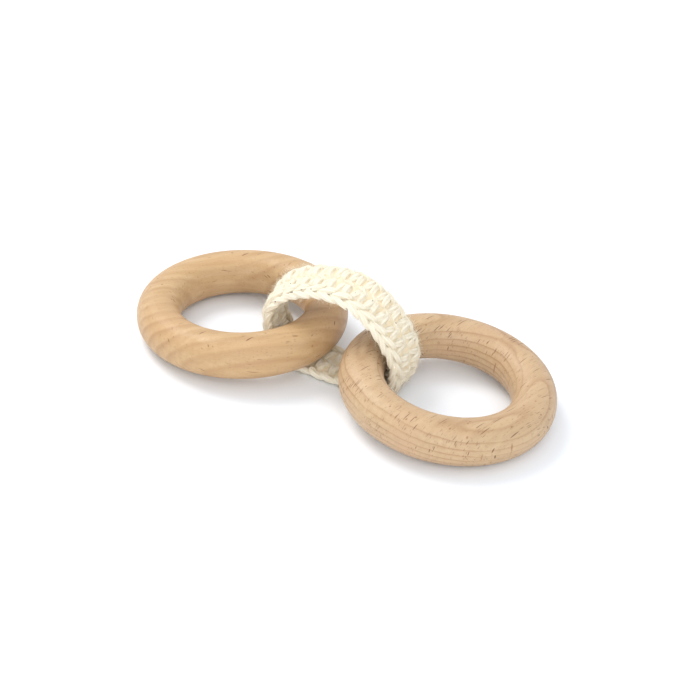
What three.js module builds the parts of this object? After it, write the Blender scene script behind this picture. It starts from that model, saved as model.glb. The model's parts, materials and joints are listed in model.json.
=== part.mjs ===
// Ring rattle for a baby: two turned beech rings held together by one closed band of crocheted cotton.
// Millimetres, +Z up. The rattle lies on z = 0 with its rings in line along X, and the origin is on
// that surface, midway between them. The band stands as an arch between the rings: its lower run
// lies flat under both inner bars, so each ring leans on it and touches the surface at its far side.
import * as THREE from "three";

// Ring: a bar with a rounded section, turned in one piece.
const RING_OUTER_DIAMETER = 70;
const BAR_WIDTH = 14.4; // measured across the ring's face
const BAR_HEIGHT = 14.6; // measured along the ring's axis
const SECTION_POWER = 2.15; // 2 would be a plain ellipse, more is squarer
const SECTION_POINTS = 28;
const RING_STEPS = 72;

// Band: a crocheted strip, sewn into a closed loop.
const BAND_WIDTH = 15;
const BAND_THICKNESS = 3.6;
const CONTACT_GAP = 0.3; // left between pieces that touch
const INNER_BAR_OFFSET = 10.3; // from the middle of the rattle to each inner bar's centre
const CURVE_STEPS = 18; // in each quarter of the loop

// Middle line of the loop in the XZ plane: its flat run, its two widest points and its crown.
const FLAT_RUN_LEFT = -13;
const FLAT_RUN_RIGHT = 12;
const LEFT_TURN = { x: -25.8, z: 17 };
const CROWN = { x: -1, z: 32.3 };
const RIGHT_TURN = { x: 22.2, z: 13 };
// How far the curve keeps its direction at each end of its four quarters.
const LEFT_FOOT_PULL = { flat: 10, upright: 5.5 };
const LEFT_SHOULDER_PULL = { upright: 8.5, flat: 11 };
const RIGHT_SHOULDER_PULL = { flat: 11, upright: 7.5 };
const RIGHT_FOOT_PULL = { upright: 8, flat: 7 };

// Seam: the ridge of overcast yarn that joins the strip's two ends, on the outside of the left turn.
const SEAM_PLACE = 0.62; // share of the way up the left foot's curve
const SEAM_WIDTH = 3;
const SEAM_HEIGHT = 1.1;
const SEAM_LENGTH = 14;
const SEAM_ARC_POINTS = 10;

const BEECH_WARM = new THREE.MeshStandardMaterial({ color: 0xdfb98c, roughness: 0.5, metalness: 0 });
const BEECH_PALE = new THREE.MeshStandardMaterial({ color: 0xd7b48f, roughness: 0.52, metalness: 0 });
const COTTON = new THREE.MeshStandardMaterial({ color: 0xf4ecd6, roughness: 0.95, metalness: 0 });
const SEAM_YARN = new THREE.MeshStandardMaterial({ color: 0xefe4c8, roughness: 0.95, metalness: 0 });

const BAR_CIRCLE_RADIUS = (RING_OUTER_DIAMETER - BAR_WIDTH) / 2;
// The inner bar is raised by the band under it, which tilts the whole ring.
const RISE = BAND_THICKNESS + CONTACT_GAP;
const TILT = Math.asin(RISE / (2 * BAR_CIRCLE_RADIUS));

// Distance from the bar's centre to its lowest point when the ring is tilted.
function sectionReach(angle) {
  const power = SECTION_POWER / (SECTION_POWER - 1);
  const across = Math.abs((BAR_WIDTH / 2) * Math.sin(angle)) ** power;
  const along = Math.abs((BAR_HEIGHT / 2) * Math.cos(angle)) ** power;
  return (across + along) ** (1 / power);
}

// The bar's section, a closed superellipse at the bar circle's radius.
function barSection() {
  const points = [];
  for (let i = 0; i <= SECTION_POINTS; i += 1) {
    const angle = (2 * Math.PI * (i % SECTION_POINTS)) / SECTION_POINTS;
    const cosine = Math.cos(angle);
    const sine = Math.sin(angle);
    const across = Math.sign(cosine) * Math.abs(cosine) ** (2 / SECTION_POWER);
    const along = Math.sign(sine) * Math.abs(sine) ** (2 / SECTION_POWER);
    const radius = BAR_CIRCLE_RADIUS + (BAR_WIDTH / 2) * across;
    points.push(new THREE.Vector2(radius, (BAR_HEIGHT / 2) * along));
  }
  return points;
}

// One ring. side is -1 for the left ring and 1 for the right one.
function makeRing(name, side, material) {
  const geometry = new THREE.LatheGeometry(barSection(), RING_STEPS);
  geometry.rotateX(Math.PI / 2);
  const ring = new THREE.Mesh(geometry, material);
  ring.name = name;
  ring.rotation.y = side * TILT;
  ring.position.x = side * (INNER_BAR_OFFSET + BAR_CIRCLE_RADIUS * Math.cos(TILT));
  ring.position.z = sectionReach(TILT) + RISE / 2;
  return ring;
}

// The four curved quarters of the loop's middle line, clockwise from the flat run's left end.
function loopQuarters() {
  const bed = BAND_THICKNESS / 2;
  const point = (x, z) => new THREE.Vector2(x, z);
  const leftFoot = new THREE.CubicBezierCurve(
    point(FLAT_RUN_LEFT, bed),
    point(FLAT_RUN_LEFT - LEFT_FOOT_PULL.flat, bed),
    point(LEFT_TURN.x, LEFT_TURN.z - LEFT_FOOT_PULL.upright),
    point(LEFT_TURN.x, LEFT_TURN.z),
  );
  const leftShoulder = new THREE.CubicBezierCurve(
    point(LEFT_TURN.x, LEFT_TURN.z),
    point(LEFT_TURN.x, LEFT_TURN.z + LEFT_SHOULDER_PULL.upright),
    point(CROWN.x - LEFT_SHOULDER_PULL.flat, CROWN.z),
    point(CROWN.x, CROWN.z),
  );
  const rightShoulder = new THREE.CubicBezierCurve(
    point(CROWN.x, CROWN.z),
    point(CROWN.x + RIGHT_SHOULDER_PULL.flat, CROWN.z),
    point(RIGHT_TURN.x, RIGHT_TURN.z + RIGHT_SHOULDER_PULL.upright),
    point(RIGHT_TURN.x, RIGHT_TURN.z),
  );
  const rightFoot = new THREE.CubicBezierCurve(
    point(RIGHT_TURN.x, RIGHT_TURN.z),
    point(RIGHT_TURN.x, RIGHT_TURN.z - RIGHT_FOOT_PULL.upright),
    point(FLAT_RUN_RIGHT + RIGHT_FOOT_PULL.flat, bed),
    point(FLAT_RUN_RIGHT, bed),
  );
  return [leftFoot, leftShoulder, rightShoulder, rightFoot];
}

// A point beside a quarter's curve, distance away on the loop's outer side.
function besideCurve(curve, share, distance) {
  const tangent = curve.getTangent(share);
  const outward = new THREE.Vector2(-tangent.y, tangent.x);
  return curve.getPoint(share).addScaledVector(outward, distance);
}

// The whole loop moved sideways by distance. The flat run closes it.
function loopOutline(distance) {
  const outline = [];
  for (const curve of loopQuarters()) {
    for (let i = 0; i < CURVE_STEPS; i += 1) {
      outline.push(besideCurve(curve, i / CURVE_STEPS, distance));
    }
  }
  const quarters = loopQuarters();
  outline.push(besideCurve(quarters[quarters.length - 1], 1, distance));
  return outline;
}

// A shape drawn in XZ, pushed along Y so that it is centred on the rattle's middle plane.
function pushAlongY(shape, length) {
  const geometry = new THREE.ExtrudeGeometry(shape, { depth: length, bevelEnabled: false });
  geometry.translate(0, 0, -length / 2);
  geometry.rotateX(Math.PI / 2);
  return geometry;
}

function makeBand() {
  const shape = new THREE.Shape(loopOutline(BAND_THICKNESS / 2));
  shape.holes.push(new THREE.Path(loopOutline(-BAND_THICKNESS / 2).reverse()));
  const band = new THREE.Mesh(pushAlongY(shape, BAND_WIDTH), COTTON);
  band.name = "crocheted_band";
  return band;
}

// The seam is a low half-round ridge, lifted off the band's outer side by the contact gap.
function makeSeam() {
  const foot = loopQuarters()[0];
  const tangent = foot.getTangent(SEAM_PLACE);
  const outward = new THREE.Vector2(-tangent.y, tangent.x);
  const base = besideCurve(foot, SEAM_PLACE, BAND_THICKNESS / 2 + CONTACT_GAP);
  const outline = [];
  for (let i = 0; i <= SEAM_ARC_POINTS; i += 1) {
    const angle = (Math.PI * i) / SEAM_ARC_POINTS;
    const point = base.clone();
    point.addScaledVector(tangent, (SEAM_WIDTH / 2) * Math.cos(angle));
    point.addScaledVector(outward, SEAM_HEIGHT * Math.sin(angle));
    outline.push(point);
  }
  const seam = new THREE.Mesh(pushAlongY(new THREE.Shape(outline), SEAM_LENGTH), SEAM_YARN);
  seam.name = "closing_seam";
  return seam;
}

const rattle = new THREE.Group();
rattle.add(makeBand());
rattle.add(makeSeam());
rattle.add(makeRing("left_ring", -1, BEECH_WARM));
rattle.add(makeRing("right_ring", 1, BEECH_PALE));

export default rattle;
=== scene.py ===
# %% [markdown]
# # A ring rattle: two beech rings in one loop of crocheted cotton
#
# The real toy has three working pieces. Two rings are turned from solid beech, sanded and oiled.
# A narrow strip of crocheted cotton is laid through both rings and its two ends are sewn
# together, so it holds the rings as a loop. A shake throws the rings against each other, and
# that clack is the rattle.
#
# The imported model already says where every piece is. This lesson builds the looks around it:
# the light first, then the rings and their wood, then the crochet, one yarn at a time.

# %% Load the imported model
import json
import math

import bpy
from mathutils import Euler, Matrix, Vector


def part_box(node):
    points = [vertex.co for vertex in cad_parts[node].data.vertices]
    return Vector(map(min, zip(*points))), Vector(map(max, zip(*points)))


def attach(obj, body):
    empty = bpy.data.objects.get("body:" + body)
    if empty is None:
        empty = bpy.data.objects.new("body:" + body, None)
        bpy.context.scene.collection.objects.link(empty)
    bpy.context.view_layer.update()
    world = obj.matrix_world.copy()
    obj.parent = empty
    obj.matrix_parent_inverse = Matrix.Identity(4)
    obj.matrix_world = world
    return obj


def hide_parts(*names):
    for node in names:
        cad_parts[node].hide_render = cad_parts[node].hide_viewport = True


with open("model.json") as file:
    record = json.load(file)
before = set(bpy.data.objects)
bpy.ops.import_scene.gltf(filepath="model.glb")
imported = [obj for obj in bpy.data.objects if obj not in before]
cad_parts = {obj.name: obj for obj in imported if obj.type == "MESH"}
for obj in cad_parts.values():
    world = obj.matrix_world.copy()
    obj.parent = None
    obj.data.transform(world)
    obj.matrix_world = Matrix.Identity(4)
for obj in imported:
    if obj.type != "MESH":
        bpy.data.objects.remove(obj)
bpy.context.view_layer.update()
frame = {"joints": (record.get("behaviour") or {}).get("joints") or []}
MM = 0.001

# %% [markdown]
# ## Camera
#
# A camera could be typed in as a location and three angles. It is easier to read as a person
# would place it: walk round the object (azimuth), rise above the table (elevation), step back
# (distance), point at one spot (aim) and tip the head a little (roll). A long lens keeps the
# rings round and calm, without the stretched look of a close wide lens.

# %% Camera
AIM = Vector((2.345, 0.547, 9.211)) * MM
AZIMUTH = math.radians(25.5554)
ELEVATION = math.radians(33.2939)
ROLL = math.radians(5.3599)
DISTANCE = 583.94 * MM
SENSOR = 36.0
FOCAL_LENGTH = 92.571


def place_camera():
    """A camera that looks at AIM from AZIMUTH and ELEVATION, tipped by ROLL."""
    back = Vector((
        math.sin(AZIMUTH) * math.cos(ELEVATION),
        -math.cos(AZIMUTH) * math.cos(ELEVATION),
        math.sin(ELEVATION),
    ))
    level = back.to_track_quat("Z", "Y").to_matrix()
    turned = level @ Matrix.Rotation(ROLL, 3, "Z")
    data = bpy.data.cameras.new("studio_camera")
    data.sensor_width = SENSOR
    data.lens = FOCAL_LENGTH
    data.clip_start = 0.01
    data.clip_end = 20
    camera = bpy.data.objects.new("studio_camera", data)
    camera.matrix_world = Matrix.Translation(AIM + back * DISTANCE) @ turned.to_4x4()
    bpy.context.scene.collection.objects.link(camera)
    return camera


bpy.context.scene.camera = place_camera()
print("camera at", [round(v, 4) for v in bpy.context.scene.camera.location])

# %% [markdown]
# ## Table and light
#
# The toy lies on a white table that is lit until it is almost pure white. One large soft light
# hangs high on the left, so shadows fall softly to the right. A wide light in front opens the
# shaded sides, and a bright even world does the rest.
# Colours are shown as they are measured, with the Standard view, because a film-like view
# would grey the white table.

# %% Table and light
TABLE_SIZE = 8.0
TABLE_COLOR = (0.90, 0.925, 0.955)
WORLD_COLOR = (0.93, 0.96, 1.0)
WORLD_STRENGTH = 0.96
KEY_PLACE = (-0.60, 0.10, 0.78)
KEY_SIZE = 0.5
KEY_POWER = 5.1
KEY_COLOR = (1.0, 0.985, 0.965)
FILL_PLACE = (0.5, -0.8, 0.6)
FILL_SIZE = 0.9
FILL_POWER = 5.0
FILL_COLOR = (0.96, 0.98, 1.0)


def new_material(name):
    """An empty material: the material itself, its tree and its shader."""
    material = bpy.data.materials.new(name)
    material.use_nodes = True
    tree = material.node_tree
    return material, tree, tree.nodes["Principled BSDF"]


def plain_material(name, color, roughness):
    """A one-colour material, for the table only."""
    material, _, shader = new_material(name)
    shader.inputs["Base Color"].default_value = (*color, 1)
    shader.inputs["Roughness"].default_value = roughness
    shader.inputs["Specular IOR Level"].default_value = 0.2
    return material


def make_table():
    """A flat white square under the toy."""
    half = TABLE_SIZE / 2
    mesh = bpy.data.meshes.new("table")
    corners = [(-half, -half, 0), (half, -half, 0), (half, half, 0), (-half, half, 0)]
    mesh.from_pydata(corners, [], [(0, 1, 2, 3)])
    mesh.materials.append(plain_material("table_white", TABLE_COLOR, 0.7))
    table = bpy.data.objects.new("table", mesh)
    bpy.context.scene.collection.objects.link(table)
    return table


def soft_light(name, place, size, power, color):
    """A square area light that faces the toy."""
    data = bpy.data.lights.new(name, "AREA")
    data.size = size
    data.energy = power
    data.color = color
    light = bpy.data.objects.new(name, data)
    light.location = place
    light.rotation_mode = "QUATERNION"
    light.rotation_quaternion = Vector(place).to_track_quat("Z", "Y")
    bpy.context.scene.collection.objects.link(light)
    return light


make_table()
soft_light("key_light", KEY_PLACE, KEY_SIZE, KEY_POWER, KEY_COLOR)
soft_light("fill_light", FILL_PLACE, FILL_SIZE, FILL_POWER, FILL_COLOR)
world = bpy.data.worlds.new("white_room")
world.use_nodes = True
sky = world.node_tree.nodes["Background"]
sky.inputs["Color"].default_value = (*WORLD_COLOR, 1)
sky.inputs["Strength"].default_value = WORLD_STRENGTH
bpy.context.scene.world = world
bpy.context.scene.view_settings.view_transform = "Standard"
bpy.context.scene.view_settings.look = "None"
print("key", KEY_POWER, "W, fill", FILL_POWER, "W, world", WORLD_STRENGTH)

# %% [markdown]
# ## Small helpers for node trees
#
# Shader trees and Geometry Nodes trees are built the same way: add a node, set its values, link
# its sockets. A few helpers keep that short. `add` makes a node and takes its inputs as a
# dictionary, where a value is either a number or the socket it comes from. `calc` does one step
# of arithmetic, and `vector_calc` does one with vectors. `geometry_tree` starts a Geometry Nodes
# tree with named inputs, `full_section` makes the outline that a bar or strip has when it is cut
# through, and `grow` runs a tree on an object and returns the result as a plain mesh object.

# %% Node helpers
INPUT_KINDS = {
    float: "NodeSocketFloat",
    int: "NodeSocketInt",
    Vector: "NodeSocketVector",
    bpy.types.Material: "NodeSocketMaterial",
}


def add(tree, kind, inputs=None, **settings):
    """A new node, with its settings and its inputs filled or linked."""
    node = tree.nodes.new(kind)
    for key, value in settings.items():
        setattr(node, key, value)
    for key, value in (inputs or {}).items():
        if isinstance(value, bpy.types.NodeSocket):
            tree.links.new(value, node.inputs[key])
        else:
            node.inputs[key].default_value = value
    return node


def calc(tree, operation, first, second=0.0, third=0.0, clamp=False):
    """One step of arithmetic, as the socket that holds its answer."""
    inputs = {0: first, 1: second, 2: third}
    return add(tree, "ShaderNodeMath", inputs, operation=operation, use_clamp=clamp).outputs[0]


def vector_calc(tree, operation, first, second=(0.0, 0.0, 0.0), scale=None):
    """One step of vector arithmetic, as the socket that holds its answer."""
    inputs = {0: first, 1: second}
    if scale is not None:
        inputs = {0: first, "Scale": scale}
    node = add(tree, "ShaderNodeVectorMath", inputs, operation=operation)
    return node.outputs["Value" if operation == "DOT_PRODUCT" else "Vector"]


def position(tree):
    """Where each point is, for Geometry Nodes."""
    return add(tree, "GeometryNodeInputPosition").outputs[0]


def split(tree, vector):
    """A vector's X, Y and Z."""
    return add(tree, "ShaderNodeSeparateXYZ", {"Vector": vector}).outputs


def geometry_tree(name, defaults):
    """A Geometry Nodes tree with named inputs. Returns the tree, its inputs and its output."""
    tree = bpy.data.node_groups.new(name, "GeometryNodeTree")
    face = tree.interface
    face.new_socket("Geometry", in_out="INPUT", socket_type="NodeSocketGeometry")
    for label, value in defaults.items():
        kind = next(word for base, word in INPUT_KINDS.items() if isinstance(value, base))
        socket = face.new_socket(label, in_out="INPUT", socket_type=kind)
        socket.default_value = value
    face.new_socket("Geometry", in_out="OUTPUT", socket_type="NodeSocketGeometry")
    start = tree.nodes.new("NodeGroupInput")
    end = tree.nodes.new("NodeGroupOutput")
    return tree, start.outputs, end.inputs["Geometry"]


def full_section(tree, steps, width, height, exponent, rise=0.0):
    """A circle stretched to width and height. A smaller exponent makes its corners fuller."""
    circle = add(tree, "GeometryNodeCurvePrimitiveCircle", {"Resolution": steps, "Radius": 1.0})
    spot = split(tree, position(tree))
    sides = {}
    for axis, size in (("X", width), ("Y", height)):
        reach = calc(tree, "POWER", calc(tree, "ABSOLUTE", spot[axis]), exponent)
        signed = calc(tree, "MULTIPLY", reach, calc(tree, "SIGN", spot[axis]))
        sides[axis] = calc(tree, "MULTIPLY", signed, calc(tree, "MULTIPLY", size, 0.5))
    raised = calc(tree, "ADD", sides["Y"], rise)
    full = add(tree, "ShaderNodeCombineXYZ", {"X": sides["X"], "Y": raised})
    section = add(tree, "GeometryNodeSetPosition",
                  {"Geometry": circle.outputs["Curve"], "Position": full.outputs[0]})
    return section.outputs[0]


def finish_tree(tree, end, geometry, material):
    """Every tree ends the same way: real geometry, smooth faces and a material."""
    real = add(tree, "GeometryNodeRealizeInstances", {"Geometry": geometry})
    smooth = add(tree, "GeometryNodeSetShadeSmooth", {"Geometry": real.outputs[0]})
    dressed = add(tree, "GeometryNodeSetMaterial",
                  {"Geometry": smooth.outputs[0], "Material": material})
    tree.links.new(dressed.outputs[0], end)


def grow(name, tree, values, data=None):
    """Runs a tree on an object that holds data and returns its result as a plain mesh object."""
    host = bpy.data.objects.new(name + "_seed", data or bpy.data.meshes.new(name + "_seed"))
    bpy.context.scene.collection.objects.link(host)
    modifier = host.modifiers.new("grow", "NODES")
    modifier.node_group = tree
    sockets = {item.name: item.identifier for item in tree.interface.items_tree}
    for label, value in values.items():
        modifier[sockets[label]] = value
    settled = host.evaluated_get(bpy.context.evaluated_depsgraph_get())
    mesh = bpy.data.meshes.new_from_object(settled)
    mesh.name = name
    bpy.data.objects.remove(host)
    piece = bpy.data.objects.new(name, mesh)
    bpy.context.scene.collection.objects.link(piece)
    mesh.calc_loop_triangles()
    print(f"{name}: {len(mesh.loop_triangles)} triangles")
    return piece


# %% [markdown]
# ## Beech
#
# The rings are cut from solid boards, so the figure runs through the wood and not round the
# ring. A picture wrapped on the surface could never do that. The material works like the tree
# did: it turns Object coordinates into the board's own directions (along the fibre, across it,
# and outwards from the heart), lays growth layers around the heart, and scatters the two marks
# that make beech easy to tell: short dark rays and fine pores.
#
# Both rings share one recipe. Only the way the board lay, its layer spacing and its colours
# differ, as they do between two real boards.

# %% Beech material
# Sizes in metres: along the fibre, round the heart, outwards from it.
DRIFT_PATCH = (0.05, 0.012, 0.012)
CLEAR_PATCH = (0.06, 0.018, 0.018)
CLOUD_PATCH = (0.045, 0.02, 0.02)
STREAK = (0.03, 0.0016, 0.0016)
FIBRE = (0.006, 0.00028, 0.00028)
RAY = (0.0075, 0.00034, 0.0022)
TALL_RAY = (0.0012, 0.00085, 0.0120)
SHORT_RAY = (0.0032, 0.00026, 0.0012)
PORE = (0.0014, 0.00020, 0.00022)
PORE_SHARE = 0.20
MARK_REACH = 0.42


def fibre_space(tree, turn, heart):
    """Object coordinates in the board's own directions: x along the fibre, z towards the bark."""
    place = add(tree, "ShaderNodeTexCoord").outputs["Object"]
    mapping = add(tree, "ShaderNodeMapping", {"Vector": place}, vector_type="TEXTURE")
    mapping.inputs["Rotation"].default_value = turn
    mapping.inputs["Location"].default_value = heart
    return mapping.outputs["Vector"]


def stretched(tree, place, sizes):
    """The same place measured in units of the given sizes, in metres."""
    return vector_calc(tree, "DIVIDE", place, sizes)


def soft_noise(tree, place, sizes, detail, roughness=0.5):
    """Soft random change, in patches of the given sizes."""
    inputs = {"Vector": stretched(tree, place, sizes), "Scale": 1.0,
              "Detail": detail, "Roughness": roughness}
    return add(tree, "ShaderNodeTexNoise", inputs).outputs[0]


def marks(tree, place, sizes, share, soften):
    """Separate small marks of the given sizes: 1 inside a mark, 0 outside, on a share of places."""
    voronoi = add(tree, "ShaderNodeTexVoronoi",
                  {"Vector": stretched(tree, place, sizes), "Scale": 1.0})
    inside = calc(tree, "SUBTRACT", MARK_REACH, voronoi.outputs["Distance"])
    inside = calc(tree, "DIVIDE", inside, soften, clamp=True)
    pick = add(tree, "ShaderNodeSeparateColor", {"Color": voronoi.outputs["Color"]}).outputs[0]
    chosen = calc(tree, "LESS_THAN", pick, share)
    return calc(tree, "MULTIPLY", inside, chosen)


def roughen(tree, shader, height, strength, distance):
    """Small bumps of the given height in the shader's surface."""
    inputs = {"Height": height, "Strength": strength, "Distance": distance}
    bump = add(tree, "ShaderNodeBump", inputs)
    tree.links.new(bump.outputs["Normal"], shader.inputs["Normal"])


def mix_color(tree, factor, first, second):
    """Blends two colours; a plain tuple is a fixed colour."""
    node = add(tree, "ShaderNodeMix", data_type="RGBA")
    for key, value in ((0, factor), (6, first), (7, second)):
        if isinstance(value, bpy.types.NodeSocket):
            tree.links.new(value, node.inputs[key])
        else:
            node.inputs[key].default_value = value if key == 0 else (*value, 1)
    return node.outputs[2]


def beech(name, turn, middle, heart_distance, layer, drift, edge, strength, ray_share, colors):
    """Oiled beech for a ring around middle. layer is a year's growth, drift how far it wanders,
    edge how sharply it ends and strength how dark its line is."""
    light, dark, late, ray, blush = colors
    bark = Euler(turn).to_matrix() @ Vector((0, 0, heart_distance))
    material, tree, shader = new_material(name)
    place = fibre_space(tree, turn, Vector(middle) - bark)
    fibre = Euler(turn).to_matrix() @ Vector((1, 0, 0))
    facing = add(tree, "ShaderNodeTexCoord").outputs["Normal"]
    end_grain = calc(tree, "ABSOLUTE", vector_calc(tree, "DOT_PRODUCT", facing, tuple(fibre)))

    wander = soft_noise(tree, place, DRIFT_PATCH, 3.0)
    axes = split(tree, place)
    across = calc(tree, "MULTIPLY", axes["Y"], axes["Y"])
    outward = calc(tree, "MULTIPLY", axes["Z"], axes["Z"])
    radius = calc(tree, "SQRT", calc(tree, "ADD", across, outward))
    moved = calc(tree, "MULTIPLY_ADD", calc(tree, "SUBTRACT", wander, 0.5), drift, radius)
    season = calc(tree, "FRACT", calc(tree, "DIVIDE", moved, layer))
    rise = calc(tree, "POWER", season, 1.0 / edge)
    fall = calc(tree, "DIVIDE", calc(tree, "SUBTRACT", 1.0, season), 0.5 * edge, clamp=True)
    late_line = calc(tree, "MULTIPLY", rise, fall)
    shown = calc(tree, "MULTIPLY_ADD", end_grain, 0.4, 0.6)
    patches = soft_noise(tree, place, CLEAR_PATCH, 1.0)
    clear = calc(tree, "MULTIPLY_ADD", patches, 3.0, -0.6, clamp=True)
    late_line = calc(tree, "MULTIPLY", late_line, calc(tree, "MULTIPLY", shown, clear))

    fibres = soft_noise(tree, place, FIBRE, 4.0, 0.6)
    streaks = soft_noise(tree, place, STREAK, 3.0, 0.55)
    cloud = soft_noise(tree, place, CLOUD_PATCH, 2.0)
    rays = marks(tree, place, RAY, ray_share, 0.16)
    tall_rays = marks(tree, place, TALL_RAY, 0.6 * ray_share, 0.25)
    short_rays = marks(tree, place, SHORT_RAY, 1.6 * ray_share, 0.2)
    pores = marks(tree, place, PORE, PORE_SHARE, 0.25)

    board = mix_color(tree, calc(tree, "MULTIPLY_ADD", streaks, 2.2, -0.6, clamp=True), light, dark)
    board = mix_color(tree, calc(tree, "MULTIPLY_ADD", cloud, 2.4, -0.85, clamp=True), board, blush)
    board = mix_color(tree, calc(tree, "MULTIPLY", late_line, strength), board, late)
    fibre_tone = calc(tree, "MULTIPLY_ADD", fibres, 0.62, -0.12, clamp=True)
    board = mix_color(tree, calc(tree, "MULTIPLY", fibre_tone, 0.5), board, late)
    board = mix_color(tree, calc(tree, "MULTIPLY", tall_rays, 0.75), board, late)
    for mark, depth in ((pores, 0.4), (short_rays, 0.5), (rays, 0.8)):
        board = mix_color(tree, calc(tree, "MULTIPLY", mark, depth), board, ray)
    tree.links.new(board, shader.inputs["Base Color"])

    gloss = calc(tree, "MULTIPLY_ADD", fibres, 0.2, 0.36)
    gloss = calc(tree, "MULTIPLY_ADD", rays, 0.2, gloss)
    tree.links.new(gloss, shader.inputs["Roughness"])
    sunk = calc(tree, "MULTIPLY_ADD", rays, -0.6, calc(tree, "MULTIPLY", fibres, 0.5))
    sunk = calc(tree, "MULTIPLY_ADD", late_line, 0.35, sunk)
    sunk = calc(tree, "MULTIPLY_ADD", pores, -0.35, sunk)
    roughen(tree, shader, sunk, 0.35, 0.00012)
    shader.inputs["Specular IOR Level"].default_value = 0.42
    shader.inputs["IOR"].default_value = 1.46
    print("material", name, "with", len(tree.nodes), "nodes")
    return material


warm_beech = beech(
    "oiled_beech_warm",
    turn=(math.radians(-62), math.radians(4), math.radians(50)),
    middle=(-38 * MM, 0, 9 * MM),
    heart_distance=70 * MM,
    layer=4.2 * MM,
    drift=3.6 * MM,
    edge=0.5,
    strength=0.85,
    ray_share=0.020,
    colors=(
        (0.62, 0.428, 0.238),
        (0.51, 0.325, 0.156),
        (0.33, 0.165, 0.066),
        (0.17, 0.074, 0.026),
        (0.55, 0.342, 0.172),
    ),
)
pale_beech = beech(
    "oiled_beech_pale",
    turn=(math.radians(4), math.radians(-2), math.radians(74)),
    middle=(38 * MM, 0, 9 * MM),
    heart_distance=160 * MM,
    layer=2.0 * MM,
    drift=1.3 * MM,
    edge=0.18,
    strength=1.0,
    ray_share=0.095,
    colors=(
        (0.60, 0.434, 0.259),
        (0.50, 0.342, 0.195),
        (0.29, 0.135, 0.052),
        (0.13, 0.050, 0.021),
        (0.555, 0.368, 0.220),
    ),
)

# %% [markdown]
# ## The rings
#
# A turned ring is one rule: a bar section carried round a circle. The section isn't a true
# circle, because the turner rounds the edges of a square blank, so it is a little fuller at its
# corners. Geometry Nodes say exactly this: a circle for the path, a circle pushed into that
# fuller shape for the section, and Curve to Mesh to carry one along the other.
#
# All sizes but the bar's height come from the CAD ring. Its joint's axis passes through the
# inner bar's centre, so the distance from the ring's centre to that axis is the bar circle's
# radius, and the slope between the two is the ring's lean: the inner bar is raised by the band
# that lies under it.

# %% Tree for a turned ring
SECTION_POWER = 2.15


def ring_tree():
    """Carries a full-cornered section round a circle and leans the ring about Y."""
    tree, given, end = geometry_tree("turned ring", {
        "Bar circle radius": 28 * MM,
        "Bar width": 14 * MM,
        "Bar height": 14 * MM,
        "Section power": SECTION_POWER,
        "Ring steps": 256,
        "Section steps": 56,
        "Lean": Vector((0, 0, 0)),
        "Centre": Vector((0, 0, 0)),
        "Wood": warm_beech,
    })
    path = add(tree, "GeometryNodeCurvePrimitiveCircle",
               {"Resolution": given["Ring steps"], "Radius": given["Bar circle radius"]})
    upright = add(tree, "GeometryNodeSetCurveNormal", {"Curve": path.outputs["Curve"]})
    upright.mode = "Z_UP"
    exponent = calc(tree, "DIVIDE", 2.0, given["Section power"])
    section = full_section(tree, given["Section steps"], given["Bar width"],
                           given["Bar height"], exponent)
    bar = add(tree, "GeometryNodeCurveToMesh",
              {"Curve": upright.outputs[0], "Profile Curve": section})
    placed = add(tree, "GeometryNodeTransform",
                 {"Geometry": bar.outputs[0], "Rotation": given["Lean"],
                  "Translation": given["Centre"]})
    finish_tree(tree, end, placed.outputs[0], given["Wood"])
    return tree


# %% Both rings
turned_ring = ring_tree()
axis_points = {j["name"]: Vector(j["pos_m"]) for j in frame["joints"]}


def ring_measures(node, joint):
    """Centre, bar circle radius, bar width and lean of a CAD ring."""
    low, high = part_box(node)
    centre = (low + high) / 2
    spoke = axis_points[joint] - Vector((centre.x, 0, centre.z))
    radius = spoke.length
    width = high.y - low.y - 2 * radius
    lean = math.atan2(spoke.z, abs(spoke.x))
    return centre, radius, width, lean


BAR_HEIGHT = 14.6 * MM
ring_makings = (
    ("left_ring", -1, warm_beech, "beech_warm"),
    ("right_ring", 1, pale_beech, "beech_pale"),
)
for node, side, wood, slot in ring_makings:
    centre, radius, width, lean = ring_measures(node, node + "_swing")
    print(node, "circle", round(radius / MM, 2), "bar", round(width / MM, 2),
          "lean", round(math.degrees(lean), 2))
    ring = grow("beech_" + node, turned_ring, {
        "Bar circle radius": radius,
        "Bar width": width,
        "Bar height": BAR_HEIGHT,
        "Lean": (0, side * lean, 0),
        "Centre": tuple(centre),
        "Wood": wood,
    })
    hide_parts(node)
    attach(ring, node)

# %% [markdown]
# ## The line of the loop
#
# The strip is a closed loop that lies flat under both rings, turns up outside the left bar,
# arches over and comes down through the right ring. Everything crocheted follows that one line,
# so it is made first, as a Bezier curve: five points, with handles that say how far the strip
# keeps its direction. Its outermost points come from the CAD band. A real strip never stands
# quite square, so later every part of it gets the same small lean across its width.

# %% Middle line of the strip
low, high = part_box("crocheted_band")
THICKNESS = 3.6 * MM
MIDDLE = THICKNESS / 2
LEFT_TURN_HEIGHT = 17 * MM
RIGHT_TURN_HEIGHT = 12 * MM
CROWN_PLACE = -1 * MM
CURVE_STEPS = 48
LOOP_POINTS = (
    # x, z, pull and direction of the handles before and after the point
    ((-13 * MM, MIDDLE), (8 * MM, 0), (-10 * MM, 0)),
    ((low.x + MIDDLE, LEFT_TURN_HEIGHT), (0, -5.5 * MM), (0, 8.5 * MM)),
    ((CROWN_PLACE, high.z - MIDDLE), (-11 * MM, 0), (11 * MM, 0)),
    ((high.x - MIDDLE, RIGHT_TURN_HEIGHT), (0, 7.5 * MM), (0, -8 * MM)),
    ((12 * MM, MIDDLE), (7 * MM, 0), (-8 * MM, 0)),
)


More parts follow.
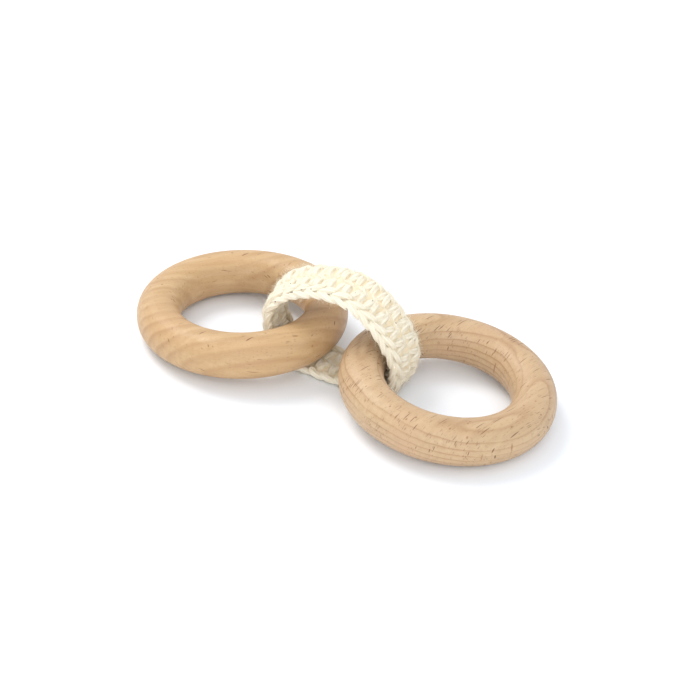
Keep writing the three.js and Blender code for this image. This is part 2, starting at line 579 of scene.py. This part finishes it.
def loop_curve(name):
    """The strip's middle line as a closed Bezier curve in the XZ plane."""
    data = bpy.data.curves.new(name, "CURVE")
    data.dimensions = "3D"
    data.resolution_u = CURVE_STEPS
    spline = data.splines.new("BEZIER")
    spline.bezier_points.add(len(LOOP_POINTS) - 1)
    for knot, (spot, before, after) in zip(spline.bezier_points, LOOP_POINTS):
        knot.handle_left_type = "FREE"
        knot.handle_right_type = "FREE"
        knot.co = (spot[0], 0, spot[1])
        knot.handle_left = (spot[0] + before[0], 0, spot[1] + before[1])
        knot.handle_right = (spot[0] + after[0], 0, spot[1] + after[1])
    spline.use_cyclic_u = True
    print(f"{name}: {spline.calc_length() / MM:.1f} mm round")
    return data


loop_curve("measured_loop")

# %% [markdown]
# ## Cotton
#
# Undyed cotton is a warm white that scatters light softly. It has no hard gloss, only the pale
# sheen of its fuzz, so the shader is rough with a little sheen. Down in the holes the light
# bounces between yarns and comes out the colour of straw. That shade is painted into the colour:
# the material is darker and more golden where a stored attribute says that the yarn dives under
# its neighbours, and a little darker in the grooves between its plies.

# %% Cotton materials
CLOUD_SIZE = 4 * MM
LINT_SIZE = 0.22 * MM


def cotton(name, bright, shaded, ply_bump):
    """Matt cotton yarn: bright on the crowns of the stitches, with straw-coloured painted shade
    where it dives and between its plies.
    """
    material, tree, shader = new_material(name)
    place = add(tree, "ShaderNodeTexCoord").outputs["Object"]
    dive_shade = add(tree, "ShaderNodeAttribute", attribute_name="dive_shade").outputs["Fac"]
    cloud = soft_noise(tree, place, (CLOUD_SIZE, CLOUD_SIZE, CLOUD_SIZE), 3.0)
    lint = soft_noise(tree, place, (LINT_SIZE, LINT_SIZE, LINT_SIZE), 4.0, 0.7)
    tone = calc(tree, "MULTIPLY_ADD", cloud, 0.5, -0.2, clamp=True)
    # Painted shade: the tone moves towards the shaded colour where the yarn dives and in the
    # grooves between its plies.
    groove_shade = add(tree, "ShaderNodeAttribute", attribute_name="groove_shade").outputs["Fac"]
    tone = calc(tree, "ADD", tone, dive_shade, clamp=True)
    tone = calc(tree, "MULTIPLY_ADD", groove_shade, 0.30, tone, clamp=True)
    tone = calc(tree, "MULTIPLY_ADD", lint, 0.16, tone, clamp=True)
    tree.links.new(mix_color(tree, tone, bright, shaded), shader.inputs["Base Color"])
    rough = calc(tree, "MULTIPLY_ADD", lint, 0.15, 0.82)
    tree.links.new(rough, shader.inputs["Roughness"])
    roughen(tree, shader, lint, 0.5, ply_bump)
    shader.inputs["Specular IOR Level"].default_value = 0.15
    shader.inputs["Sheen Weight"].default_value = 0.25
    shader.inputs["Sheen Roughness"].default_value = 0.6
    shader.inputs["Sheen Tint"].default_value = (1, 0.98, 0.93, 1)
    print("material", name, "with", len(tree.nodes), "nodes")
    return material


cotton_yarn = cotton("undyed_cotton", (0.865, 0.805, 0.665), (0.80, 0.69, 0.49), 0.00010)
# The ground cloth's darker, more golden colours are painted shade for the holes between the legs.
shaded_ground_cotton = cotton("shaded_ground_cotton", (0.90, 0.79, 0.58), (0.80, 0.64, 0.41), 0.00015)
seam_cotton = cotton("seam_cotton", (0.88, 0.82, 0.66), (0.74, 0.60, 0.38), 0.00010)

# %% [markdown]
# ## One tree for every yarn
#
# Crochet looks tangled, but each row is one yarn that repeats the same small journey. It swings
# across the row, dives under its neighbour and comes up again, once for every stitch. So one
# tree makes them all. It walks along a line, and at every step a turning phase says where the
# yarn is:
#
# - `sweep` swings it across the row with the cosine of the phase,
# - `roll` lifts it on the way out and sinks it on the way back, and `lean` makes the way out
#   longer than the way back. Together they make the slanted leaves of a chain's edge,
# - `dip` sinks it at both ends of the swing, which makes the paired legs of a crochet stitch,
# - `kink` and `pairing` push those legs along the line, two by two,
# - `swell` and `pinch` change the yarn's girth as it turns.
#
# `facing` turns the whole row about the line, so the same tree dresses the outer face, the inner
# face and both edges. The section isn't round: it has one lobe for each ply of the yarn, and a
# steady twist winds the plies along it.

# %% Lean of the strip
LEAN_OUT = 1.7 * MM
LEAN_UP = 0.6 * MM
LEAN_START = -3 * MM
LEAN_END = -25 * MM
HALF_WIDTH = 7.5 * MM
TABLE_GAP = 0.02 * MM


def lean_strip(tree, geometry):
    """Moves the strip's back edge up and, at the left turn, out; its front edge the other way."""
    spot = split(tree, position(tree))
    side = calc(tree, "DIVIDE", spot["Y"], HALF_WIDTH)
    reach = add(tree, "ShaderNodeMapRange",
                {"Value": spot["X"], "From Min": LEAN_START, "From Max": LEAN_END},
                interpolation_type="SMOOTHSTEP")
    climb = calc(tree, "DIVIDE", spot["Z"], high.z, clamp=True)
    out = calc(tree, "MULTIPLY", calc(tree, "MULTIPLY", side, reach.outputs[0]), -LEAN_OUT)
    up = calc(tree, "MULTIPLY", calc(tree, "MULTIPLY", side, climb), LEAN_UP)
    shift = add(tree, "ShaderNodeCombineXYZ", {"X": out, "Z": up})
    leaned = add(tree, "GeometryNodeSetPosition",
                 {"Geometry": geometry, "Offset": shift.outputs[0]})
    return leaned.outputs[0]


def press_flat(tree, geometry, floor):
    """Flattens what would sink into the table."""
    spot = split(tree, position(tree))
    height = calc(tree, "MAXIMUM", spot["Z"], floor)
    flat = add(tree, "ShaderNodeCombineXYZ", {"X": spot["X"], "Y": spot["Y"], "Z": height})
    pressed = add(tree, "GeometryNodeSetPosition",
                  {"Geometry": geometry, "Position": flat.outputs[0]})
    return pressed.outputs[0]


# %% Tree for a row of yarn
STITCHES = 26
STEPS_PER_STITCH = 20
POINTS_PER_PLY = 4.0
LOBE_POWER = 0.8
WHIM_SCALE = 300.0
WHIM_GAIN = 5.0
# How strongly the painted shade darkens yarn that dives, and how much every yarn gets.
DIVE_SHADE_GAIN = 0.45
DIVE_SHADE_BASE = 0.05


def yarn_tree():
    """One yarn that makes a row of stitches along a line."""
    tree, given, end = geometry_tree("row of yarn", {
        "Stitches": STITCHES,
        "Steps per stitch": STEPS_PER_STITCH,
        "Side": Vector((0, 1, 0)),
        "Across": 0.0,
        "Height": 0.0,
        "Facing": 0.0,
        "Offset": 0.0,
        "Lift": 0.0,
        "Sweep": 1 * MM,
        "Lean": 0.0,
        "Roll": 0.0,
        "Kink": 0.0,
        "Pairing": 0.0,
        "Dip": 0.0,
        "Phase": 0.0,
        "Thickness": 1.8 * MM,
        "Swell": 0.0,
        "Pinch": 0.0,
        "Plies": 5,
        "Ply depth": 0.32,
        "Twists": 12,
        "Unevenness": 0.15 * MM,
        "Seed": 1.0,
        "Cotton": cotton_yarn,
    })
    steps = calc(tree, "MULTIPLY", given["Stitches"], given["Steps per stitch"])
    line = add(tree, "GeometryNodeResampleCurve", {"Curve": given["Geometry"], "Count": steps})
    index = add(tree, "GeometryNodeInputIndex").outputs[0]
    turns = calc(tree, "DIVIDE", index, given["Steps per stitch"])
    phase = calc(tree, "MULTIPLY_ADD", turns, 2 * math.pi, given["Phase"])
    cosine = calc(tree, "COSINE", phase)
    sine = calc(tree, "SINE", phase)
    double = calc(tree, "COSINE", calc(tree, "MULTIPLY", phase, 2.0))
    double_sine = calc(tree, "SINE", calc(tree, "MULTIPLY", phase, 2.0))

    ahead = calc(tree, "MULTIPLY", cosine, calc(tree, "MULTIPLY", given["Lean"], -1.0))
    ahead = calc(tree, "MULTIPLY_ADD", double_sine, given["Kink"], ahead)
    ahead = calc(tree, "SUBTRACT", ahead, calc(tree, "MULTIPLY", sine, given["Pairing"]))
    aside = calc(tree, "MULTIPLY_ADD", cosine, given["Sweep"], given["Offset"])
    above = calc(tree, "MULTIPLY_ADD", sine, given["Roll"], given["Lift"])
    above = calc(tree, "MULTIPLY_ADD", double, calc(tree, "MULTIPLY", given["Dip"], -1.0), above)

    cos_facing = calc(tree, "COSINE", given["Facing"])
    sin_facing = calc(tree, "SINE", given["Facing"])
    over = calc(tree, "MULTIPLY_ADD", aside, cos_facing, given["Across"])
    over = calc(tree, "SUBTRACT", over, calc(tree, "MULTIPLY", above, sin_facing))
    up = calc(tree, "MULTIPLY_ADD", aside, sin_facing, given["Height"])
    up = calc(tree, "MULTIPLY_ADD", above, cos_facing, up)

    tangent = add(tree, "GeometryNodeInputTangent").outputs[0]
    outward = vector_calc(tree, "CROSS_PRODUCT", tangent, given["Side"])
    move = vector_calc(tree, "ADD", vector_calc(tree, "SCALE", tangent, scale=ahead),
                       vector_calc(tree, "SCALE", given["Side"], scale=over))
    move = vector_calc(tree, "ADD", move, vector_calc(tree, "SCALE", outward, scale=up))
    whim = add(tree, "ShaderNodeTexNoise",
               {"Vector": position(tree), "W": given["Seed"], "Scale": WHIM_SCALE, "Detail": 1.0},
               noise_dimensions="4D")
    whim = vector_calc(tree, "SUBTRACT", whim.outputs["Color"], (0.5, 0.5, 0.5))
    whim = vector_calc(tree, "SCALE", whim,
                       scale=calc(tree, "MULTIPLY", given["Unevenness"], WHIM_GAIN))
    move = vector_calc(tree, "ADD", move, whim)
    path = add(tree, "GeometryNodeSetPosition", {"Geometry": line.outputs[0], "Offset": move})
    leaned = lean_strip(tree, path.outputs[0])

    wound = calc(tree, "DIVIDE", calc(tree, "MULTIPLY", given["Twists"], 2 * math.pi), steps)
    wound = calc(tree, "MULTIPLY", wound, index)
    twisted = add(tree, "GeometryNodeSetCurveTilt", {"Curve": leaned, "Tilt": wound})
    girth = calc(tree, "MULTIPLY_ADD", sine, given["Swell"], 1.0)
    girth = calc(tree, "SUBTRACT", girth, calc(tree, "MULTIPLY", double, given["Pinch"]))
    thick = add(tree, "GeometryNodeSetCurveRadius", {"Curve": twisted.outputs[0], "Radius": girth})
    # Painted shade: where the yarn dips or rolls under its neighbours, stored for the cotton to
    # darken.
    sunk = calc(tree, "MULTIPLY_ADD", double, calc(tree, "SIGN", given["Dip"]),
                calc(tree, "MULTIPLY", sine, calc(tree, "MULTIPLY",
                                                  calc(tree, "SIGN", given["Roll"]), -1.0)))
    sunk = calc(tree, "MULTIPLY_ADD", sunk, DIVE_SHADE_GAIN, DIVE_SHADE_BASE, clamp=True)
    stored = add(tree, "GeometryNodeStoreNamedAttribute",
                 {"Geometry": thick.outputs[0], "Name": "dive_shade", "Value": sunk},
                 data_type="FLOAT", domain="POINT")

    round_steps = calc(tree, "MULTIPLY", given["Plies"], POINTS_PER_PLY)
    circle = add(tree, "GeometryNodeCurvePrimitiveCircle",
                 {"Resolution": round_steps, "Radius": 1.0})
    around = split(tree, position(tree))
    angle = calc(tree, "ARCTAN2", around["Y"], around["X"])
    lobe = calc(tree, "MULTIPLY", angle, calc(tree, "MULTIPLY", given["Plies"], 0.5))
    lobe = calc(tree, "POWER", calc(tree, "ABSOLUTE", calc(tree, "SINE", lobe)), LOBE_POWER)
    fullness = calc(tree, "SUBTRACT", 1.0, given["Ply depth"])
    fullness = calc(tree, "MULTIPLY_ADD", lobe, given["Ply depth"], fullness)
    reach = calc(tree, "MULTIPLY", fullness, calc(tree, "MULTIPLY", given["Thickness"], 0.5))
    lobed = vector_calc(tree, "SCALE", position(tree), scale=reach)
    # Painted shade between the plies: the groove between lobes is stored for the cotton to darken.
    grooved = add(tree, "GeometryNodeStoreNamedAttribute",
                  {"Geometry": circle.outputs["Curve"], "Name": "groove_shade",
                   "Value": calc(tree, "SUBTRACT", 1.0, lobe)},
                  data_type="FLOAT", domain="POINT")
    section = add(tree, "GeometryNodeSetPosition",
                  {"Geometry": grooved.outputs[0], "Position": lobed})
    yarn = add(tree, "GeometryNodeCurveToMesh",
               {"Curve": stored.outputs[0], "Profile Curve": section.outputs[0],
                "Scale": add(tree, "GeometryNodeInputRadius").outputs[0], "Fill Caps": True})
    rested = press_flat(tree, yarn.outputs[0], TABLE_GAP)
    finish_tree(tree, end, rested, given["Cotton"])
    return tree


# %% [markdown]
# ## Rows of the strip
#
# The strip is two rows of single crochet. Each row is a zigzag of legs. Between the two rows runs
# a line of small lumps, where one row hooks into the other. Both long edges end in the braid that
# crochet makes by itself: two leaning yarns side by side, one the mirror of the other. The inner
# face is the back of the same stitches, pressed flatter because it bears on the rings.

# %% Yarn rows
row_of_yarn = yarn_tree()
FACE_LIFT = 0.80 * MM
LEG_THICKNESS = 2.35 * MM
EDGE_THICKNESS = 2.05 * MM
BAR_THICKNESS = 1.8 * MM
NEAR = math.radians(48)
FAR = math.radians(-64)
OUTSIDE = 0.0
INSIDE = math.pi
LEG_PRESS = 0.55
BAR_PRESS = 0.5


def pressed(thickness, press):
    """The thickness of pressed yarn, which changes less than its swings do."""
    return (0.7 + 0.3 * press) * thickness


def legs(across, facing, phase, seed, sweep):
    """A row of paired legs on one face of the strip. On the inner face they are pressed flat."""
    press = LEG_PRESS if facing == INSIDE else 1.0
    return {
        "Across": across,
        "Facing": facing,
        "Lift": press * FACE_LIFT,
        "Sweep": sweep,
        "Dip": press * 0.38 * MM,
        "Kink": 0.25 * MM,
        "Pairing": 0.40 * MM,
        "Phase": phase,
        "Thickness": pressed(LEG_THICKNESS, press),
        "Pinch": 0.20 * press,
        "Twists": 16,
        "Unevenness": 0.34 * press * MM,
        "Seed": seed,
    }


def braid_half(across, height, facing, offset, sweep, lean, seed):
    """One of the two leaning yarns of an edge braid."""
    return {
        "Across": across,
        "Height": height,
        "Facing": facing,
        "Offset": offset,
        "Lift": 0.35 * MM,
        "Sweep": sweep,
        "Lean": lean,
        "Roll": 0.58 * MM,
        "Thickness": EDGE_THICKNESS,
        "Swell": 0.14,
        "Twists": 15,
        "Unevenness": 0.16 * MM,
        "Seed": seed,
    }


def bars(across, facing, seed):
    """The row of lumps where the two rows of legs hook into each other."""
    press = BAR_PRESS if facing == INSIDE else 1.0
    return {
        "Across": across,
        "Facing": facing,
        "Lift": press * 0.4 * MM,
        "Sweep": 0.75 * MM,
        "Lean": 0.75 * MM,
        "Roll": press * 0.55 * MM,
        "Phase": 1.0,
        "Thickness": pressed(BAR_THICKNESS, press),
        "Swell": 0.16,
        "Twists": 17,
        "Unevenness": 0.3 * press * MM,
        "Seed": seed,
    }


QUARTER = math.pi / 2
row_recipes = {
    "outer_stitches": [
        legs(-2.7 * MM, OUTSIDE, phase=0.0, seed=1.0, sweep=2.95 * MM),
        bars(0.6 * MM, OUTSIDE, seed=11.0),
        legs(4.3 * MM, OUTSIDE, phase=math.pi + QUARTER, seed=2.0, sweep=3.1 * MM),
    ],
    "inner_stitches": [
        legs(3.1 * MM, INSIDE, phase=QUARTER, seed=3.0, sweep=2.45 * MM),
        bars(-0.5 * MM, INSIDE, seed=12.0),
        legs(-3.6 * MM, INSIDE, phase=math.pi, seed=4.0, sweep=2.1 * MM),
    ],
    "near_edge_braid": [
        braid_half(-6.6 * MM, 0.1 * MM, NEAR, offset=0.90 * MM, sweep=-0.72 * MM,
                   lean=1.30 * MM, seed=5.0),
        braid_half(-6.8 * MM, 0.1 * MM, NEAR, offset=-0.70 * MM, sweep=0.50 * MM,
                   lean=1.75 * MM, seed=6.0),
    ],
    "far_edge_braid": [
        braid_half(6.6 * MM, -0.2 * MM, FAR, offset=-0.60 * MM, sweep=0.55 * MM,
                   lean=1.55 * MM, seed=7.0),
        braid_half(6.6 * MM, -0.2 * MM, FAR, offset=0.45 * MM, sweep=-0.40 * MM,
                   lean=1.75 * MM, seed=8.0),
    ],
}


def join(name, parts):
    """Several mesh objects made into one."""
    with bpy.context.temp_override(active_object=parts[0], selected_editable_objects=parts):
        bpy.ops.object.join()
    parts[0].name = name
    parts[0].data.name = name
    return parts[0]


yarns = {}
for name, recipes in row_recipes.items():
    parts = [
        grow(f"{name}_{i}", row_of_yarn, recipe, loop_curve(f"{name}_line_{i}"))
        for i, recipe in enumerate(recipes)
    ]
    yarns[name] = join(name, parts)

# %% [markdown]
# ## The ground of the strip
#
# Behind the stitches a real strip is solid with yarn. A thin closed cloth, a little narrower
# than the strip, stands for that ground. It is what shows in the holes between the legs, and its
# darker, more golden straw colour is painted shade for the shadow down in those holes.

# %% Ground cloth
GROUND_WIDTH = 14 * MM
GROUND_THICKNESS = 2.0 * MM
GROUND_SHIFT = 0.35 * MM
GROUND_EDGE_STEPS = 28
GROUND_EXPONENT = 0.5
# How far the ground cloth is painted towards its shaded colour.
GROUND_SHADE = 0.35


def ground_tree():
    """A thin strip with rounded edges that follows the loop."""
    tree, given, end = geometry_tree("ground of the strip", {
        "Steps": 216,
        "Width": GROUND_WIDTH,
        "Depth": GROUND_THICKNESS,
        "Towards outer face": GROUND_SHIFT,
        "Cotton": shaded_ground_cotton,
    })
    line = add(tree, "GeometryNodeResampleCurve",
               {"Curve": given["Geometry"], "Count": given["Steps"]})
    section = full_section(tree, GROUND_EDGE_STEPS, given["Width"], given["Depth"],
                           GROUND_EXPONENT, given["Towards outer face"])
    strip = add(tree, "GeometryNodeCurveToMesh",
                {"Curve": line.outputs[0], "Profile Curve": section})
    # Painted shade: the whole ground cloth is pushed towards its shaded colour.
    stored = add(tree, "GeometryNodeStoreNamedAttribute",
                 {"Geometry": strip.outputs[0], "Name": "dive_shade", "Value": GROUND_SHADE},
                 data_type="FLOAT", domain="POINT")
    finish_tree(tree, end, lean_strip(tree, stored.outputs[0]), given["Cotton"])
    return tree


ground = grow("cotton_strip", ground_tree(), {}, loop_curve("ground_line"))
ground_low = [min(v.co[i] for v in ground.data.vertices) for i in range(3)]
ground_high = [max(v.co[i] for v in ground.data.vertices) for i in range(3)]
print("ground box in mm:", [round(v / MM, 2) for v in ground_low + ground_high])

# %% [markdown]
# ## The seam that closes the loop
#
# The strip is crocheted flat, and its two ends are sewn together with overcast stitches: short
# slanting bars of the same yarn, side by side, that go over the joint and back under it. That is
# the same journey again, on a short line across the strip, so the same tree makes it. The line
# runs through the CAD seam, on the outer side of the left foot.

# %% Closing seam
SEAM_STITCHES = 8
SEAM_PLACE = 0.62
SEAM_MARGIN = 0.6 * MM
SEAM_RISE = 0.55 * MM
seam_low, seam_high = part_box("closing_seam")


def bezier_point(share):
    """Place and direction on the left foot's curve, for a share of the way up it."""
    first, second = LOOP_POINTS[0], LOOP_POINTS[1]
    a = Vector(first[0])
    d = Vector(second[0])
    b = a + Vector(first[2])
    c = d + Vector(second[1])
    rest = 1 - share
    spot = a * rest**3 + b * 3 * rest**2 * share + c * 3 * rest * share**2 + d * share**3
    way = (b - a) * rest**2 + (c - b) * 2 * rest * share + (d - c) * share**2
    return Vector((spot.x, 0, spot.y)), Vector((way.x, 0, way.y)).normalized()


def straight_curve(name, start, end):
    """A straight line as curve data."""
    data = bpy.data.curves.new(name, "CURVE")
    data.dimensions = "3D"
    spline = data.splines.new("POLY")
    spline.points.add(1)
    spline.points[0].co = (*start, 1)
    spline.points[1].co = (*end, 1)
    return data


foot_place, foot_way = bezier_point(SEAM_PLACE)
seam_line = straight_curve(
    "seam_line",
    (foot_place.x, seam_low.y + SEAM_MARGIN, foot_place.z),
    (foot_place.x, seam_high.y - SEAM_MARGIN, foot_place.z),
)
seam = grow("overcast_seam", row_of_yarn, {
    "Stitches": SEAM_STITCHES,
    "Side": tuple(-foot_way),
    "Height": MIDDLE + SEAM_RISE,
    "Sweep": 1.45 * MM,
    "Lean": 0.35 * MM,
    "Roll": 0.55 * MM,
    "Thickness": 1.35 * MM,
    "Swell": 0.1,
    "Plies": 4,
    "Twists": 6,
    "Unevenness": 0.08 * MM,
    "Seed": 9.0,
    "Cotton": seam_cotton,
}, seam_line)
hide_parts("closing_seam")
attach(seam, "band")

# %% [markdown]
# ## Fuzz and seed flecks
#
# Handled cotton is never clean-edged. Short fibres stand off the yarn all over, and here and
# there a dark fleck of seed husk was spun in with it. Both are scattered on the yarn by Geometry
# Nodes: points on the faces, and on each point one tiny bent fibre or one tiny husk, turned and
# sized at random from a fixed seed. A fibre has only eleven faces, because thousands are needed,
# and the fuzz of each row is a piece of its own.

# %% Tree that scatters small shapes on the yarn
FIBRE_RADIUS = 0.020 * MM
HUSK_RADIUS = 0.36 * MM
HUSK_STRETCH = (1.0, 0.6, 0.35)


def scatter_tree(name, shape):
    """Puts copies of a small shape on a mesh. shape(tree) returns the shape's geometry."""
    tree, given, end = geometry_tree(name, {
        "Per square metre": 1e6,
        "Smallest": 0.5,
        "Largest": 1.2,
        "Bend over": 0.9,
        "Seed": 1,
        "Look": cotton_yarn,
    })
    points = add(tree, "GeometryNodeDistributePointsOnFaces",
                 {"Mesh": given["Geometry"], "Density": given["Per square metre"],
                  "Seed": given["Seed"]})
    low_turn = add(tree, "ShaderNodeCombineXYZ",
                   {"X": calc(tree, "MULTIPLY", given["Bend over"], -1.0),
                    "Y": calc(tree, "MULTIPLY", given["Bend over"], -1.0)})
    high_turn = add(tree, "ShaderNodeCombineXYZ",
                    {"X": given["Bend over"], "Y": given["Bend over"], "Z": 2 * math.pi})
    turn = add(tree, "FunctionNodeRandomValue", data_type="FLOAT_VECTOR")
    tree.links.new(low_turn.outputs[0], turn.inputs[0])
    tree.links.new(high_turn.outputs[0], turn.inputs[1])
    tree.links.new(given["Seed"], turn.inputs["Seed"])
    turned = add(tree, "FunctionNodeRotateRotation",
                 {"Rotation": points.outputs["Rotation"], "Rotate By": turn.outputs[0]},
                 rotation_space="LOCAL")
    size = add(tree, "FunctionNodeRandomValue", data_type="FLOAT")
    tree.links.new(given["Smallest"], size.inputs[2])
    tree.links.new(given["Largest"], size.inputs[3])
    placed = add(tree, "GeometryNodeInstanceOnPoints",
                 {"Points": points.outputs["Points"], "Instance": shape(tree),
                  "Rotation": turned.outputs[0], "Scale": size.outputs[1]})
    real = add(tree, "GeometryNodeRealizeInstances", {"Geometry": placed.outputs[0]})
    finish_tree(tree, end, press_flat(tree, real.outputs[0], TABLE_GAP), given["Look"])
    return tree


def fibre_shape(tree):
    """One bent cotton fibre, about 1.7 mm long and as thin as a hair."""
    bend = add(tree, "GeometryNodeCurveQuadraticBezier",
               {"Resolution": 3, "Start": (0, 0, -0.1 * MM), "Middle": (0.1 * MM, 0, 0.8 * MM),
                "End": (1.0 * MM, 0.4 * MM, 1.1 * MM)})
    round_wire = add(tree, "GeometryNodeCurvePrimitiveCircle",
                     {"Resolution": 3, "Radius": FIBRE_RADIUS})
    fibre = add(tree, "GeometryNodeCurveToMesh",
                {"Curve": bend.outputs[0], "Profile Curve": round_wire.outputs["Curve"],
                 "Fill Caps": True})
    return fibre.outputs[0]


def husk_shape(tree):
    """One flat fleck of seed husk."""
    ball = add(tree, "GeometryNodeMeshIcoSphere", {"Radius": HUSK_RADIUS, "Subdivisions": 1})
    flat = add(tree, "GeometryNodeTransform",
               {"Geometry": ball.outputs["Mesh"], "Scale": HUSK_STRETCH})
    return flat.outputs[0]


# %% Fuzz and flecks on every yarn
# Fibres and flecks on a square metre of yarn.
FIBRES = {
    "outer_stitches": 1.3e6,
    "inner_stitches": 0.5e6,
    "near_edge_braid": 1.2e6,
    "far_edge_braid": 2.0e6,
    "overcast_seam": 1.0e6,
}
FLECKS = 9000.0
FLECKED = ("outer_stitches", "near_edge_braid")
FUZZ_SEED = 20
FLECK_SEED = 40
HUSK_GRAIN = 900.0


def husk(name, dark, light):
    """Dry brown seed husk with a slightly rough skin."""
    material, tree, shader = new_material(name)
    place = add(tree, "ShaderNodeTexCoord").outputs["Object"]
    grain = add(tree, "ShaderNodeTexNoise",
                {"Vector": place, "Scale": HUSK_GRAIN, "Detail": 2.0}).outputs[0]
    tree.links.new(mix_color(tree, grain, dark, light), shader.inputs["Base Color"])
    rough = calc(tree, "MULTIPLY_ADD", grain, 0.3, 0.55)
    tree.links.new(rough, shader.inputs["Roughness"])
    roughen(tree, shader, grain, 0.4, 0.00005)
    return material


husk_brown = husk("seed_husk", (0.09, 0.055, 0.035), (0.22, 0.14, 0.085))

fuzz_tree = scatter_tree("cotton fuzz", fibre_shape)
fleck_tree = scatter_tree("seed flecks", husk_shape)
fuzz_parts = []
fleck_parts = []
for number, (name, piece) in enumerate([*yarns.items(), ("overcast_seam", seam)]):
    fuzz_parts.append(grow(f"fuzz_{name}", fuzz_tree, {
        "Per square metre": FIBRES[name],
        "Smallest": 0.5,
        "Largest": 1.35,
        "Bend over": 0.9,
        "Seed": FUZZ_SEED + number,
        "Look": cotton_yarn,
    }, piece.data.copy()))
    if name in FLECKED:
        fleck_parts.append(grow(f"flecks_{name}", fleck_tree, {
            "Per square metre": FLECKS,
            "Smallest": 0.6,
            "Largest": 1.1,
            "Bend over": 0.2,
            "Seed": FLECK_SEED + number,
            "Look": husk_brown,
        }, piece.data.copy()))
flecks = join("seed_flecks", fleck_parts)

# %% Bind the crochet to its body
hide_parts("crocheted_band")
on_strip = [*yarns.values(), *fuzz_parts, flecks]
for piece in (ground, *on_strip):
    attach(piece, "band")
